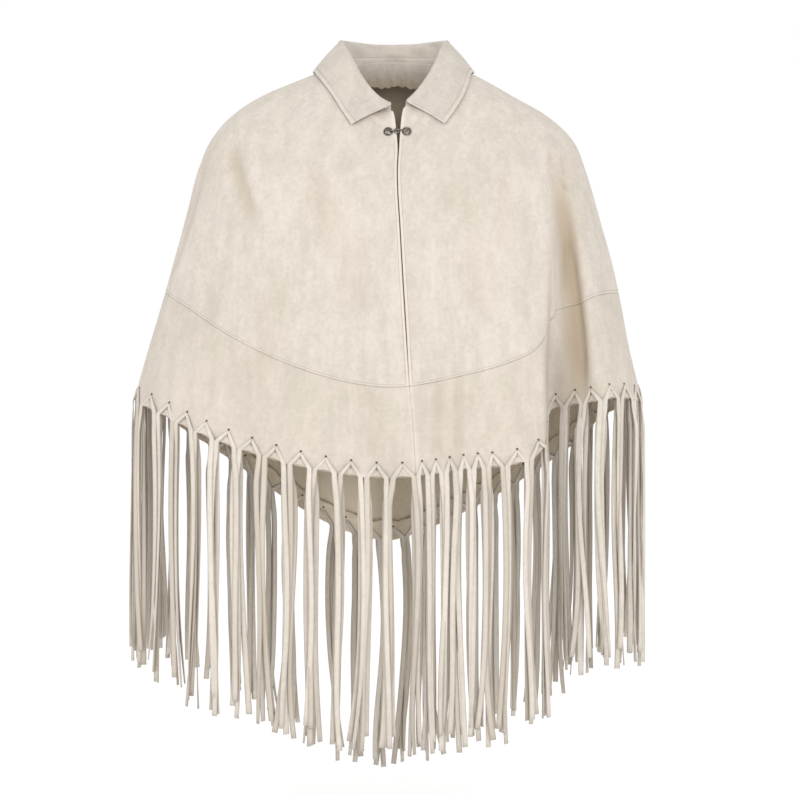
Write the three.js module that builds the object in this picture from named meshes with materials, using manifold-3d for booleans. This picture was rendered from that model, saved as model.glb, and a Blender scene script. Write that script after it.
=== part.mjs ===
// Suede poncho with a pointed collar, a short front slit closed by one metal clasp, a curved seam round the
// body and a long laced fringe. It keeps the hollow form it has when worn.
// Millimetres, +Z up. The front faces -Y and +X is to the right of someone looking at the front.
// The origin is the centre of the neck opening, level with the collar seam on the shoulders.
// Left and right in the names of pieces are the wearer's, so the left pieces lie on +X.

import * as THREE from 'three';
import Module from 'manifold-3d';
import { mergeVertices } from 'three/addons/utils/BufferGeometryUtils.js';

// Sizes that drive the shape
const WALL = 2.0;             // thickness of a suede wall
const SEAM_GAP = 0.4;         // gap between two panels at a seam
const LACE_LINE = 20;         // from the hem edge up to the line of lace holes
const LACE_COUNT = 54;        // lace holes round the hem, and bundles of fringe between them
const STRANDS = 4;            // strands in a bundle
const STRAND_WIDTH = 6.4;
const ROOT_WIDTH = 4.2;       // width of a strand where it leaves the lace
const ROOT_GAP = 0.6;
const FRINGE_FRONT = 348;     // from where the strands part down to their tips
const FRINGE_BACK = 326;
const LEG_WIDTH = 6.4;        // the part of a lace that lies on the panel
const LACE_THICK = 1.5;
const LACE_LIFT = 0.9;        // from the panel to the lace on it
const COLLAR_THICK = 2.4;
const CLASP_DROP = 108;       // from the origin down to the clasp
const CLASP_PLATE_RADIUS = 6.5;
const CLASP_REACH = 12.5;     // from the front edges to the middle of a clasp plate

// Rings of the body from the neck to the hem. left and right are half widths on -X and +X, front and
// back are depths, the three heights are at the middle of the front, at the sides and at the middle of
// the back, corner is the exponent of the rounded outline (2 is an ellipse), and slit is half the width
// of the front slit.
const ringOf = (name, left, right, front, back, zFront, zSide, zBack, corner, slit) =>
  ({ name, left, right, front, back, zFront, zSide, zBack, corner, slit });
const RINGS = [
  ringOf('neck seam', 71, 79, 78, 62, -76, 0, 9, 2.0, 9.5),
  ringOf('collar edge', 108, 115, 92, 84, -93, -16, -2, 2.1, 4.5),
  ringOf('shoulder slope', 178, 168, 107, 104, -124, -46, -30, 2.2, 1.4),
  ringOf('shoulder', 223, 219, 121, 119, -158, -76, -68, 2.3, 1.3),
  ringOf('shoulder point', 252, 256, 133, 131, -194, -111, -118, 2.4, 1.3),
  ringOf('upper arm', 269, 273, 143, 140, -236, -153, -182, 2.5, 1.3),
  ringOf('chest', 284, 290, 152, 148, -297, -208, -274, 2.6, 1.3),
  ringOf('elbow', 300, 306, 161, 157, -375, -264, -408, 2.6, 1.3),
  ringOf('body seam', 315, 318, 169, 168, -454, -320, -553, 2.7, 0.2),
  ringOf('band', 338, 333, 175, 180, -515, -395, -612, 2.7, 0.2),
  ringOf('hem', 359, 351, 181, 190, -575, -470, -674, 2.7, 0.2),
];
const NECK = 0;
const SEAM = 8;
const HEM = 10;
const UPPER_RINGS = [0, 0.6, 1.2, 1.8, 2.4, 3, 3.7, 5, 6.5, SEAM];
const BAND_RINGS = [SEAM, 8.9, 'lace', HEM];
const RISE_FRONT = 1.75;      // how the rings rise from the middle of the front to the sides: 2 is an arc
const RISE_BACK = 1.5;        // the same behind

// Hanging folds. column is where a fold runs, in degrees round the body from the front towards +X, before
// and after are its widths on the two sides of that line, depth is how far it goes in at the hem (out where
// it is less than 0), and start is the ring where it begins.
const FOLDS = [
  { name: 'deep front fold', column: 42, before: 7, after: 9, depth: 74, start: 3 },
  { name: 'crest beside it', column: 30, before: 16, after: 10, depth: -9, start: 3 },
  { name: 'left front', column: -52, before: 14, after: 14, depth: 7, start: 3.5 },
  { name: 'left side', column: -84, before: 14, after: 14, depth: 5, start: 5 },
  { name: 'right side', column: 84, before: 14, after: 14, depth: 7, start: 5 },
  { name: 'back, near +X', column: 124, before: 15, after: 14, depth: 19, start: 4 },
  { name: 'back, second', column: 154, before: 13, after: 14, depth: 17, start: 5 },
  { name: 'back, third', column: -171, before: 15, after: 13, depth: 14, start: 5.5 },
  { name: 'back, fourth', column: -141, before: 14, after: 14, depth: 21, start: 4.5 },
  { name: 'back, near -X', column: -113, before: 13, after: 13, depth: 14, start: 4 },
];
const RISES = [
  { name: 'hem drops at the crest', column: 31, before: 22, after: 9, rise: -10, start: 3 },
  { name: 'hem lifts past the fold', column: 44, before: 11, after: 30, rise: 34, start: 3 },
  { name: 'back hem hangs lowest on -X', column: -170, before: 26, after: 26, rise: -9, start: 6 },
];
// Where the lines of the cloth swing sideways on the way down, in degrees
const SWINGS = [
  { name: 'middle of the front', column: 0, before: 75, after: 36, atNeck: 3.5, atHem: 4.6 },
  { name: 'deep front fold', column: 42, before: 36, after: 36, atNeck: 15, atHem: -3.5 },
];

const wasm = await Module();
wasm.setup();

const radians = (degrees) => (degrees * Math.PI) / 180;
const wrap = (degrees) => ((((degrees + 180) % 360) + 360) % 360) - 180;
const mix = (a, b, t) => a + (b - a) * t;
const clamp = (x, low, high) => Math.min(high, Math.max(low, x));
const UP = new THREE.Vector3(0, 0, 1);

// How strongly a row of such a table acts at a column, from 0 to 1
function strength(row, column) {
  const off = wrap(column - row.column);
  const t = Math.abs(off) / (off < 0 ? row.before : row.after);
  return t < 1 ? 0.5 + 0.5 * Math.cos(Math.PI * t) : 0;
}

// A number from 0 to 1 that looks random and is the same in each run
function chance(n) {
  const x = Math.sin(n * 127.1 + 311.7) * 43758.5453;
  return x - Math.floor(x);
}

// A smooth curve through one column of a table
function along(rows, column, v) {
  const last = rows.length - 1;
  const i = clamp(Math.floor(v), 0, last - 1);
  const t = v - i;
  const p1 = rows[i][column];
  const p2 = rows[i + 1][column];
  const p0 = i > 0 ? rows[i - 1][column] : 2 * p1 - p2;
  const p3 = i + 2 <= last ? rows[i + 2][column] : 2 * p2 - p1;
  const m1 = (p2 - p0) / 2;
  const m2 = (p3 - p1) / 2;
  return p1 + t * (m1 + t * (3 * (p2 - p1) - 2 * m1 - m2 + t * (2 * (p1 - p2) + m1 + m2)));
}

function growth(start, v) {
  return Math.pow(clamp((v - start) / (HEM - start), 0, 1.1), 1.2);
}

// The outside of the cloth at a column, in degrees round the body, and a ring, counted from the neck
function surface(column, v) {
  let angle = column;
  for (const s of SWINGS) angle += mix(s.atNeck, s.atHem, v / HEM) * strength(s, column);
  const sin = Math.sin(radians(angle));
  const cos = Math.cos(radians(angle));
  const corner = along(RINGS, 'corner', v);
  const reach = Math.pow(Math.pow(Math.abs(sin), corner) + Math.pow(Math.abs(cos), corner), 1 / corner);
  const across = sin / reach;
  const ahead = -cos / reach;
  const width = along(RINGS, sin > 0 ? 'right' : 'left', v);
  const depth = along(RINGS, cos > 0 ? 'front' : 'back', v);
  const zSide = along(RINGS, 'zSide', v);
  const zMiddle = along(RINGS, cos > 0 ? 'zFront' : 'zBack', v);
  const point = new THREE.Vector3(
    width * across,
    depth * ahead,
    zSide + (zMiddle - zSide) * (1 - Math.pow(Math.abs(across), cos > 0 ? RISE_FRONT : RISE_BACK)),
  );
  const outward = new THREE.Vector3(
    (Math.sign(across) * Math.pow(Math.abs(across), corner - 1)) / width,
    (Math.sign(ahead) * Math.pow(Math.abs(ahead), corner - 1)) / depth,
    0,
  ).normalize();
  for (const f of FOLDS) {
    point.addScaledVector(outward, -f.depth * growth(f.start, v) * strength(f, column));
  }
  for (const r of RISES) point.z += r.rise * growth(r.start, v) * strength(r, column);
  return point;
}

// The direction that points straight out of the cloth
function normalAt(column, v) {
  const step = 0.02;
  const low = clamp(v, step, HEM - step);
  const round = surface(column + 0.1, low).sub(surface(column - 0.1, low));
  const down = surface(column, low + step).sub(surface(column, low - step));
  return down.cross(round).normalize();
}

// Columns equally spaced along the hem: even ones carry a bundle of fringe and odd ones a lace hole
function spacedColumns(count) {
  const steps = 2880;
  const lengths = [0];
  let before = surface(0, HEM);
  for (let i = 1; i <= steps; i += 1) {
    const point = surface((360 * i) / steps, HEM);
    lengths.push(lengths[i - 1] + point.distanceTo(before));
    before = point;
  }
  const columns = [];
  let at = 0;
  for (let k = 0; k <= count; k += 1) {
    const target = (lengths[steps] * k) / count;
    while (at < steps - 1 && lengths[at + 1] < target) at += 1;
    const share = (target - lengths[at]) / (lengths[at + 1] - lengths[at]);
    columns.push((360 * (at + share)) / steps);
  }
  return { columns, total: lengths[steps] };
}

const COLUMN_COUNT = 2 * LACE_COUNT;
const hemSpacing = spacedColumns(COLUMN_COUNT);
const COLUMNS = hemSpacing.columns;
const nearestBundle = (angle) => {
  const missed = (i) => Math.abs(COLUMNS[i] - angle);
  let best = 0;
  for (let i = 2; i < COLUMN_COUNT; i += 2) best = missed(i) < missed(best) ? i : best;
  return best;
};
const SIDE_LEFT = nearestBundle(90);      // the side seam on +X
const SIDE_RIGHT = nearestBundle(270);    // the side seam on -X

// The ring value a given distance above the hem
function ringAbove(column, distance) {
  const span = surface(column, HEM).distanceTo(surface(column, HEM - 1));
  return HEM - distance / span;
}

// The column where a point lies a given distance to one side of the middle of the front
function besideFront(distance, v, side) {
  let low = 0;
  let high = 30;
  const middle = surface(0, v);
  for (let i = 0; i < 30; i += 1) {
    const half = (low + high) / 2;
    if (surface(side * half, v).distanceTo(middle) < distance) low = half;
    else high = half;
  }
  return side * low;
}

// A closed sheet between two sets of points, over a net of cells. A cell lists its corners anticlockwise
// seen from outside, and is split into triangles from its first corner. An edge that only one cell has gets
// a rim, split from its first outer point to its last inner point, so that the rims of two panels at a seam
// are alike.
function sheetGeometry(outer, inner, cells) {
  const positions = [...outer, ...inner].flatMap((p) => [p.x, p.y, p.z]);
  const under = outer.length;
  const index = [];
  const edges = new Map();
  for (const cell of cells) {
    for (let i = 1; i < cell.length - 1; i += 1) {
      index.push(cell[0], cell[i], cell[i + 1]);
      index.push(cell[0] + under, cell[i + 1] + under, cell[i] + under);
    }
    cell.forEach((from, i) => {
      const to = cell[(i + 1) % cell.length];
      if (!edges.delete(`${to},${from}`)) edges.set(`${from},${to}`, [from, to]);
    });
  }
  for (const [from, to] of edges.values()) {
    if (from < to) index.push(to, from, to + under, from, from + under, to + under);
    else index.push(to, from, from + under, to, from + under, to + under);
  }
  const geometry = new THREE.BufferGeometry();
  geometry.setAttribute('position', new THREE.Float32BufferAttribute(positions, 3));
  geometry.setIndex(index);
  return geometry;
}

// A closed wall through rows of points that run down, each row anticlockwise from above. A row may have
// more points than the one above it, by a whole number of times. Where crossed says so, a cell is split the
// other way.
function wallGeometry(outer, inner, crossed = () => false) {
  const cells = [];
  let first = 0;
  for (let i = 0; i < outer.length - 1; i += 1) {
    const count = outer[i].length;
    const step = (outer[i + 1].length - 1) / (count - 1);
    for (let j = 0; j < count - 1; j += 1) {
      const below = Array.from({ length: step + 1 }, (_, k) => first + count + j * step + k);
      const cell = [first + j, ...below, first + j + 1];
      cells.push(crossed(i, j) ? [...cell.slice(1), cell[0]] : cell);
    }
    first += count;
  }
  return sheetGeometry(outer.flat(), inner.flat(), cells);
}

// One body panel between two columns and two rings, half a seam gap short of the panels beside it. A panel
// that begins or ends at the middle of the front leaves the slit open.
function panel({ from, to, stride, rings, opensTop, opensBottom, laced }) {
  const half = SEAM_GAP / 2;
  const columnShift = (column, v) => half / surface(column + 0.5, v).distanceTo(surface(column - 0.5, v));
  const shift = (column, v, way) => {
    const down = surface(column, v + 0.05).sub(surface(column, v - 0.05));
    return down.setLength(way * half);
  };
  const outer = [];
  const inner = [];
  rings.forEach((ring, i) => {
    const level = ring === 'lace' ? ringAbove(0, LACE_LINE) : ring;
    const slit = along(RINGS, 'slit', level);
    const first = COLUMNS[from];
    const last = COLUMNS[to];
    const start = from === 0 ? besideFront(slit, level, 1) : first + columnShift(first, level);
    const end = to === COLUMN_COUNT ? 360 + besideFront(slit, level, -1) : last - columnShift(last, level);
    const step = i === rings.length - 1 ? 1 : stride;
    const outerRow = [];
    const innerRow = [];
    for (let j = from; j <= to; j += step) {
      const at = clamp(COLUMNS[j], start, end);
      const v = ring === 'lace' ? ringAbove(at, LACE_LINE) : ring;
      const point = surface(at, v);
      if (i === 0 && opensTop) point.add(shift(at, v, 1));
      if (i === rings.length - 1 && opensBottom) point.add(shift(at, v, -1));
      outerRow.push(point);
      innerRow.push(point.clone().addScaledVector(normalAt(at, v), -WALL));
    }
    outer.push(outerRow);
    inner.push(innerRow);
  });
  const laceRow = rings.length - 2;
  return wallGeometry(outer, inner, (i, j) => laced && i === laceRow && (from + j) % 2 === 0);
}

const solidOf = (geometry) => {
  const bare = geometry.clone();
  bare.deleteAttribute('normal');
  bare.deleteAttribute('uv');
  const merged = mergeVertices(bare, 1e-4);
  return new wasm.Manifold(new wasm.Mesh({
    numProp: 3,
    vertProperties: new Float32Array(merged.attributes.position.array),
    triVerts: new Uint32Array(merged.index.array),
  }));
};

const geometryOf = (solid) => {
  const mesh = solid.getMesh();
  const geometry = new THREE.BufferGeometry();
  geometry.setAttribute('position', new THREE.BufferAttribute(new Float32Array(mesh.vertProperties), 3));
  geometry.setIndex([...mesh.triVerts]);
  return geometry;
};

const joined = (geometries) => geometryOf(geometries.map(solidOf).reduce((all, one) => all.add(one)));

// The corners of the flat facets of a band, where a lace lies: at the hem, and up the column of a lace hole
const columnAt = (j) => COLUMNS[(j + COLUMN_COUNT) % COLUMN_COUNT];
const hemCorner = (j) => surface(columnAt(j), HEM);

function upHole(hole, above) {
  const column = columnAt(hole);
  const line = ringAbove(column, LACE_LINE);
  const at = surface(column, line);
  const end = above < 0 ? surface(column, HEM) : surface(column, BAND_RINGS[1]);
  return at.add(end.sub(at).setLength(Math.abs(above)));
}

// Level directions at a bundle: along the hem and out from it, with the room that the bundle has
function bundleFrame(j) {
  const hem = hemCorner(j);
  const before = hemCorner(j - 2);
  const after = hemCorner(j + 2);
  const slope = after.clone().sub(before).normalize();
  const side = new THREE.Vector3(slope.x, slope.y, 0).normalize();
  const level = (a) => Math.hypot(a.x - hem.x, a.y - hem.y);
  const room = Math.min(level(before), level(after)) / (hemSpacing.total / LACE_COUNT);
  const lift = slope.z / slope.dot(side);
  return { hem, side, out: side.clone().cross(UP), lift, room: clamp(room, 0.6, 1) };
}

const STRAND_SHARES = [0, 0.22, 0.6, 1];
const HEAD_DROP = 7;          // from the hem edge down to where the strands part
const APEX_RISE = 3.5;        // from a lace hole up to the bend of its lace
const APEX_FALL = 6;

// The middle and the half width of one strand at each of its sections. Its sway comes from its own number.
function strandPath(j, i) {
  const { hem, side, out, room } = bundleFrame(j);
  const seed = (j % COLUMN_COUNT) * 2 + i * 7;
  const share = (1 - Math.cos(radians(columnAt(j)))) / 2;
  const length = mix(FRINGE_FRONT, FRINGE_BACK, share) * mix(0.955, 1.05, chance(seed));
  const spread = mix(0.5, 1.7, chance(seed + 0.31));
  const bow = mix(-2.4, 2.4, chance(Math.floor(j / 2) + 0.57));
  const push = (i % 2 ? -1 : 1) * mix(1.5, 5, chance(seed + 0.83));
  const turn = mix(-0.45, 0.45, chance(seed + 0.19));
  const offset = i - (STRANDS - 1) / 2;
  return STRAND_SHARES.map((s) => {
    const width = room * mix(ROOT_WIDTH, STRAND_WIDTH, Math.min(1, s / STRAND_SHARES[1]));
    const away = offset * (ROOT_WIDTH + ROOT_GAP + (STRAND_WIDTH - ROOT_WIDTH + spread) * Math.pow(s, 0.8));
    const middle = hem.clone()
      .addScaledVector(side, room * (away + bow * Math.sin(Math.PI * s)))
      .addScaledVector(out, push * Math.pow(s, 0.7))
      .addScaledVector(UP, -HEAD_DROP - length * s);
    const wide = side.clone().multiplyScalar(Math.cos(turn * s)).addScaledVector(out, Math.sin(turn * s));
    return { middle, wide: wide.multiplyScalar(width / 2) };
  });
}

// One length of fringe. A lace runs down from each hole to the bundles on both sides, lying on the panel,
// and the strands of a bundle hang from where two laces meet. from and to are the first bundle and the one
// past the last.
function fringe(from, to) {
  const outer = [];
  const inner = [];
  const cells = [];
  const place = (point, out) => {
    outer.push(point.clone().addScaledVector(out, LACE_LIFT + LACE_THICK));
    inner.push(point.clone().addScaledVector(out, LACE_LIFT));
    return outer.length - 1;
  };
  const apex = (hole, nudge) => {
    const out = normalAt(columnAt(hole), ringAbove(columnAt(hole), LACE_LINE));
    const level = UP.clone().cross(out).setLength(nudge);
    const at = (rise) => place(upHole(hole, rise).add(level), out);
    return { low: at(-APEX_FALL), high: at(APEX_RISE) };
  };
  let previous = apex(from - 1, SEAM_GAP / 2);
  for (let j = from; j < to; j += 2) {
    const { hem, side, out, lift, room } = bundleFrame(j);
    const half = (room * ((STRANDS - 1) * (ROOT_WIDTH + ROOT_GAP) + ROOT_WIDTH)) / 2;
    const inside = half - LEG_WIDTH * room;
    const onHem = (distance) => {
      const beside = j + Math.sign(distance);
      const step = hemCorner(beside).sub(hem);
      const share = Math.abs(distance) / Math.hypot(step.x, step.y);
      const skin = normalAt(columnAt(j), HEM).add(normalAt(columnAt(beside), HEM)).normalize();
      return place(hem.clone().addScaledVector(step, share), skin);
    };
    const [t0, t1, t2, t3] = [-half, -inside, inside, half].map(onHem);
    const roots = [];
    for (let i = 0; i < STRANDS; i += 1) {
      const path = strandPath(j, i).map(({ middle, wide }) => {
        const tilt = (p) => p.clone().addScaledVector(UP, lift * side.dot(p.clone().sub(hem)));
        const first = middle.z > hem.z - HEAD_DROP - 1;
        const edges = [middle.clone().sub(wide), middle.clone().add(wide)];
        return (first ? edges.map(tilt) : edges).map((p) => place(p, out));
      });
      for (let k = 0; k < path.length - 1; k += 1) {
        cells.push([path[k][0], path[k + 1][0], path[k + 1][1], path[k][1]]);
      }
      roots.push(...path[0]);
    }
    const rootsBefore = roots.slice(0, STRANDS);
    const rootsAfter = roots.slice(STRANDS);
    const between = [t1, rootsBefore[STRANDS - 1], rootsAfter[0], t2];
    cells.push([t1, t0, ...rootsBefore], between, [t2, ...rootsAfter, t3]);
    const isLast = j + 2 >= to;
    const next = apex(j + 1, isLast ? -SEAM_GAP / 2 : 0);
    cells.push([previous.high, previous.low, t0, t1], [t2, t3, next.low, next.high]);
    previous = next;
  }
  return sheetGeometry(outer, inner, cells);
}

// The collar from the middle of the back (180) to one front edge. seam is where it joins the neck, edge and
// ring are where its outer edge lies on the body, and stand is its height from the seam to the roll.
const COLLAR = [
  { seam: 180, edge: 180, ring: 1.08, stand: 25 },
  { seam: 158, edge: 160, ring: 1.08, stand: 25 },
  { seam: 135, edge: 140, ring: 1.06, stand: 26 },
  { seam: 112, edge: 118, ring: 1.02, stand: 28 },
  { seam: 90, edge: 94, ring: 1.0, stand: 29 },
  { seam: 70, edge: 74, ring: 1.0, stand: 29 },
  { seam: 52, edge: 55, ring: 1.05, stand: 27 },
  { seam: 38, edge: 42, ring: 1.16, stand: 21 },
  { seam: 26, edge: 32.5, ring: 1.34, stand: 15 },
  { seam: 16, edge: 26.5, ring: 1.5, stand: 10 },
  { seam: 7.5, edge: 23, ring: 1.63, stand: 6.5 },
];
const ROLL = 4.2;             // outside radius of the collar's roll
const COLLAR_LEAN = 5;        // how far the stand leans in
const COLLAR_CLEAR = 2.0;     // from the body to the collar's outer edge
const FOOT_IN = 0.4;          // from the inside of the neck seam out to the inside of the collar's foot
const COLLAR_RISE = 1.0;      // from the neck seam up to the foot of the collar
const FALL_CROWN = 3.5;       // how far the fall bows out between the roll and its edge
const ROLL_STEPS = 4;

function collarRow(t, side) {
  const value = (column) => along(COLLAR, column, t);
  const seamColumn = side * value('seam');
  const edgeColumn = side * value('edge');
  const seam = surface(seamColumn, NECK);
  const ahead = surface(seamColumn + 1, NECK).sub(surface(seamColumn - 1, NECK)).setZ(0).normalize();
  const out = ahead.cross(UP);
  const stand = value('stand');
  const lean = COLLAR_LEAN * clamp(stand / COLLAR[0].stand, 0, 1);
  const foot = seam.clone().addScaledVector(out, FOOT_IN - WALL).addScaledVector(UP, COLLAR_RISE);
  const upright = foot.clone().addScaledVector(UP, stand - ROLL);
  const neckTop = upright.addScaledVector(out, COLLAR_THICK / 2 - lean);
  const points = [foot, foot.clone().lerp(neckTop, 0.5)];
  const centre = neckTop.clone().addScaledVector(out, ROLL);
  for (let k = 0; k <= ROLL_STEPS; k += 1) {
    const turn = (Math.PI * k) / ROLL_STEPS;
    const rolled = centre.clone().addScaledVector(out, -ROLL * Math.cos(turn));
    points.push(rolled.addScaledVector(UP, ROLL * Math.sin(turn)));
  }
  const ring = value('ring');
  const skin = normalAt(edgeColumn, ring);
  const edge = surface(edgeColumn, ring).addScaledVector(skin, COLLAR_THICK + COLLAR_CLEAR);
  const fallTop = points[points.length - 1];
  points.push(fallTop.clone().lerp(edge, 0.5).addScaledVector(skin, FALL_CROWN), edge);
  return points;
}

function collarGeometry() {
  const stations = [];
  const last = COLLAR.length - 1;
  for (let t = last; t >= 0; t -= 1) stations.push(collarRow(t, 1));
  for (let t = 1; t <= last; t += 1) stations.push(collarRow(t, -1));
  // the visible side runs up the inside of the stand, over the roll and down the fall
  const rows = stations[0].length;
  const grid = [];
  for (let i = 0; i < rows; i += 1) grid.push(stations.map((s) => s[i].clone()));
  const under = grid.map((row, i) => row.map((p, j) => {
    const down = grid[Math.min(i + 1, rows - 1)][j].clone().sub(grid[Math.max(i - 1, 0)][j]);
    const round = row[Math.min(j + 1, row.length - 1)].clone().sub(row[Math.max(j - 1, 0)]);
    return p.clone().addScaledVector(down.cross(round).normalize(), -COLLAR_THICK);
  }));
  return wallGeometry(grid, under);
}

// The clasp lies on the front edges below the collar
const claspPlace = (() => {
  let v = 1;
  while (surface(0, v).z > -CLASP_DROP) v += 0.01;
  return { v, point: surface(0, v), out: normalAt(0, v) };
})();
const CLASP_LIFT = 0.7;       // from the cloth at the slit out to the back of the plates
const PLATE_SIDES = 20;
const PLATE_THICK = 1.8;      // to the ring round the plate's domed middle
const PLATE_EDGE = 0.4;       // bevel of the plate's back edge
const PLATE_RIM = 1.1;        // height of its side
const DOME_STEP = 1.2;        // from the side in to the ring
const DOME_FOOT = 3.4;        // from the side in to the dome
const DOME_RISE = 1;          // from the ring up to the top of the dome

// Turns a piece made flat in X and Z, facing -Y, onto the cloth at the clasp
function onClasp(geometry) {
  const { point, out } = claspPlace;
  const across = new THREE.Vector3(1, 0, 0).addScaledVector(out, -out.x).normalize();
  const upward = across.clone().cross(out).negate();
  const frame = new THREE.Matrix4().makeBasis(across, out.clone().negate(), upward).setPosition(point);
  geometry.applyMatrix4(frame);
  return geometry;
}

function claspPlate(side) {
  const r = CLASP_PLATE_RADIUS;
  const profile = [
    [0, 0], [r - PLATE_EDGE, 0], [r, PLATE_EDGE], [r, PLATE_RIM], [r - DOME_STEP, PLATE_THICK],
    [r - DOME_FOOT, PLATE_THICK + 0.7 * DOME_RISE], [0, PLATE_THICK + DOME_RISE],
  ];
  const plate = new THREE.LatheGeometry(profile.map(([x, y]) => new THREE.Vector2(x, y)), PLATE_SIDES);
  plate.rotateX(Math.PI);
  plate.translate(side * CLASP_REACH, -CLASP_LIFT, 0);
  return plate;
}

function tube(points, radius, sides, steps) {
  const circle = new THREE.Shape(Array.from({ length: sides }, (_, k) => {
    const turn = (2 * Math.PI * k) / sides;
    return new THREE.Vector2(radius * Math.cos(turn), radius * Math.sin(turn));
  }));
  const path = new THREE.CatmullRomCurve3(points.map((p) => new THREE.Vector3(...p)));
  return new THREE.ExtrudeGeometry(circle, { steps, extrudePath: path, bevelEnabled: false });
}

const WIRE = 1.0;             // radius of the clasp's wire
const WIRE_SIDES = 8;
const EYE_RADIUS = 3.2;
const EYE_SIDES = 20;
const EYE_ACROSS = -1.2;      // middle of the eye, from the middle of the slit
const EYE_DEPTH = -3.0;       // the eye stands this far out from the cloth
const eyeRing = () => {
  const ring = new THREE.TorusGeometry(EYE_RADIUS, WIRE, WIRE_SIDES, EYE_SIDES);
  ring.rotateX(Math.PI / 2);
  ring.translate(EYE_ACROSS, EYE_DEPTH, 0);
  return ring;
};
// Across the clasp and out from the eye, from the plate to the tip of the hook
const HOOK_PATH = [
  [CLASP_REACH, 0], [7.6, 0.4], [4.6, 2.1], [2.2, 2.7], [-0.6, 2.0], [-1.3, 0.2], [-0.9, -0.7],
];
const HOOK_STEPS = 14;
const HOOK_WIRE = 0.9;        // radius of the hook's wire
const EYE_BAR = [[-CLASP_REACH, 0], [-8, 0], [EYE_ACROSS - EYE_RADIUS - 0.2, 0]];
const EYE_BAR_STEPS = 3;
const wirePoints = (path) => path.map(([across, out]) => [across, EYE_DEPTH - out, 0]);

const claspEye = () => onClasp(joined([
  claspPlate(-1),
  eyeRing(),
  tube(wirePoints(EYE_BAR), WIRE, WIRE_SIDES, EYE_BAR_STEPS),
]));
const claspHook = () => onClasp(joined([
  claspPlate(1),
  tube(wirePoints(HOOK_PATH), HOOK_WIRE, WIRE_SIDES, HOOK_STEPS),
]));

const suede = new THREE.MeshStandardMaterial({ color: 0xe6ddcf, roughness: 0.95, metalness: 0 });
const lace = new THREE.MeshStandardMaterial({ color: 0xded3c4, roughness: 0.95, metalness: 0 });
const metal = new THREE.MeshStandardMaterial({ color: 0x8f8a82, roughness: 0.35, metalness: 1 });

const poncho = new THREE.Group();

function add(name, geometry, material) {
  const mesh = new THREE.Mesh(geometry, material);
  mesh.name = name;
  poncho.add(mesh);
}

const upper = (from, to, stride) =>
  panel({ from, to, stride, rings: UPPER_RINGS, opensTop: false, opensBottom: true, laced: false });
const band = (from, to) =>
  panel({ from, to, stride: 1, rings: BAND_RINGS, opensTop: true, opensBottom: false, laced: true });

add('upper_front_left', upper(0, SIDE_LEFT, 1), suede);
add('upper_front_right', upper(SIDE_RIGHT, COLUMN_COUNT, 2), suede);
add('upper_back', upper(SIDE_LEFT, SIDE_RIGHT, 2), suede);
add('band_front_left', band(0, SIDE_LEFT), suede);
add('band_front_right', band(SIDE_RIGHT, COLUMN_COUNT), suede);
add('band_back', band(SIDE_LEFT, SIDE_RIGHT), suede);
add('collar', collarGeometry(), suede);
add('clasp_eye', claspEye(), metal);
add('clasp_hook', claspHook(), metal);

const FRINGE_NAMES = ['front_left', 'side_left', 'back_left', 'back_right', 'side_right', 'front_right'];
FRINGE_NAMES.forEach((name, k) => {
  const from = 2 * Math.round((k * LACE_COUNT) / FRINGE_NAMES.length);
  const to = 2 * Math.round(((k + 1) * LACE_COUNT) / FRINGE_NAMES.length);
  add(`fringe_${name}`, fringe(from, to), lace);
});

export default poncho;
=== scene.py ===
import math

import bmesh
import bpy
import numpy as np
from mathutils import Matrix, Vector


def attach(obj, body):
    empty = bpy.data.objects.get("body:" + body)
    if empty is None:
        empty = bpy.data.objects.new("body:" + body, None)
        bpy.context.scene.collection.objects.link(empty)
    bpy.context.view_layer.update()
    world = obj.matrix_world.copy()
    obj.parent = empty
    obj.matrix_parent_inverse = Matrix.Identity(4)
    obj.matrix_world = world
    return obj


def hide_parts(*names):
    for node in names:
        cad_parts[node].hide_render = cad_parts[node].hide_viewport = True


bl_info = {
    "name": "Suede poncho",
    "version": (1, 0, 0),
    "blender": (4, 5, 0),
    "location": "3D View > Sidebar > Poncho",
    "description": "Cloth, collar, clasp and laced fringe of a suede poncho",
    "category": "Object",
}

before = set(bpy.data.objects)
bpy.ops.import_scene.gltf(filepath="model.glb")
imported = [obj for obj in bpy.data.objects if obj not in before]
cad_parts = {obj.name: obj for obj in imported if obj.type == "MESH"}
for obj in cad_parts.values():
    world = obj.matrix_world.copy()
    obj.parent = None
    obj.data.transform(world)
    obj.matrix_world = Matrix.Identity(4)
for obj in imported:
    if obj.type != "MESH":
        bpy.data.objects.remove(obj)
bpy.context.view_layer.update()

# Sizes in millimetres; meshes are written in metres
MM = 0.001
CLOTH_THICK = 1.5
COLLAR_CLOTH = 1.9
TURN_THICK = 1.2
FACING_THICK = 1.1
SEAM_GAP = 0.4
HEM_TURN = 30.0
FACING_DEEP = 36
LACE_LINE = 20.0
FRINGE_FRONT = 348.0
FRINGE_BACK = 326.0

# Bundles of fringe round the hem, half laces round it, and the rings at the neck, the body seam and
# the hem
LACE_COUNT = 60
FULL = 2 * LACE_COUNT
NECK, SEAM, HEM = 0.0, 8.0, 10.0

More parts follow.
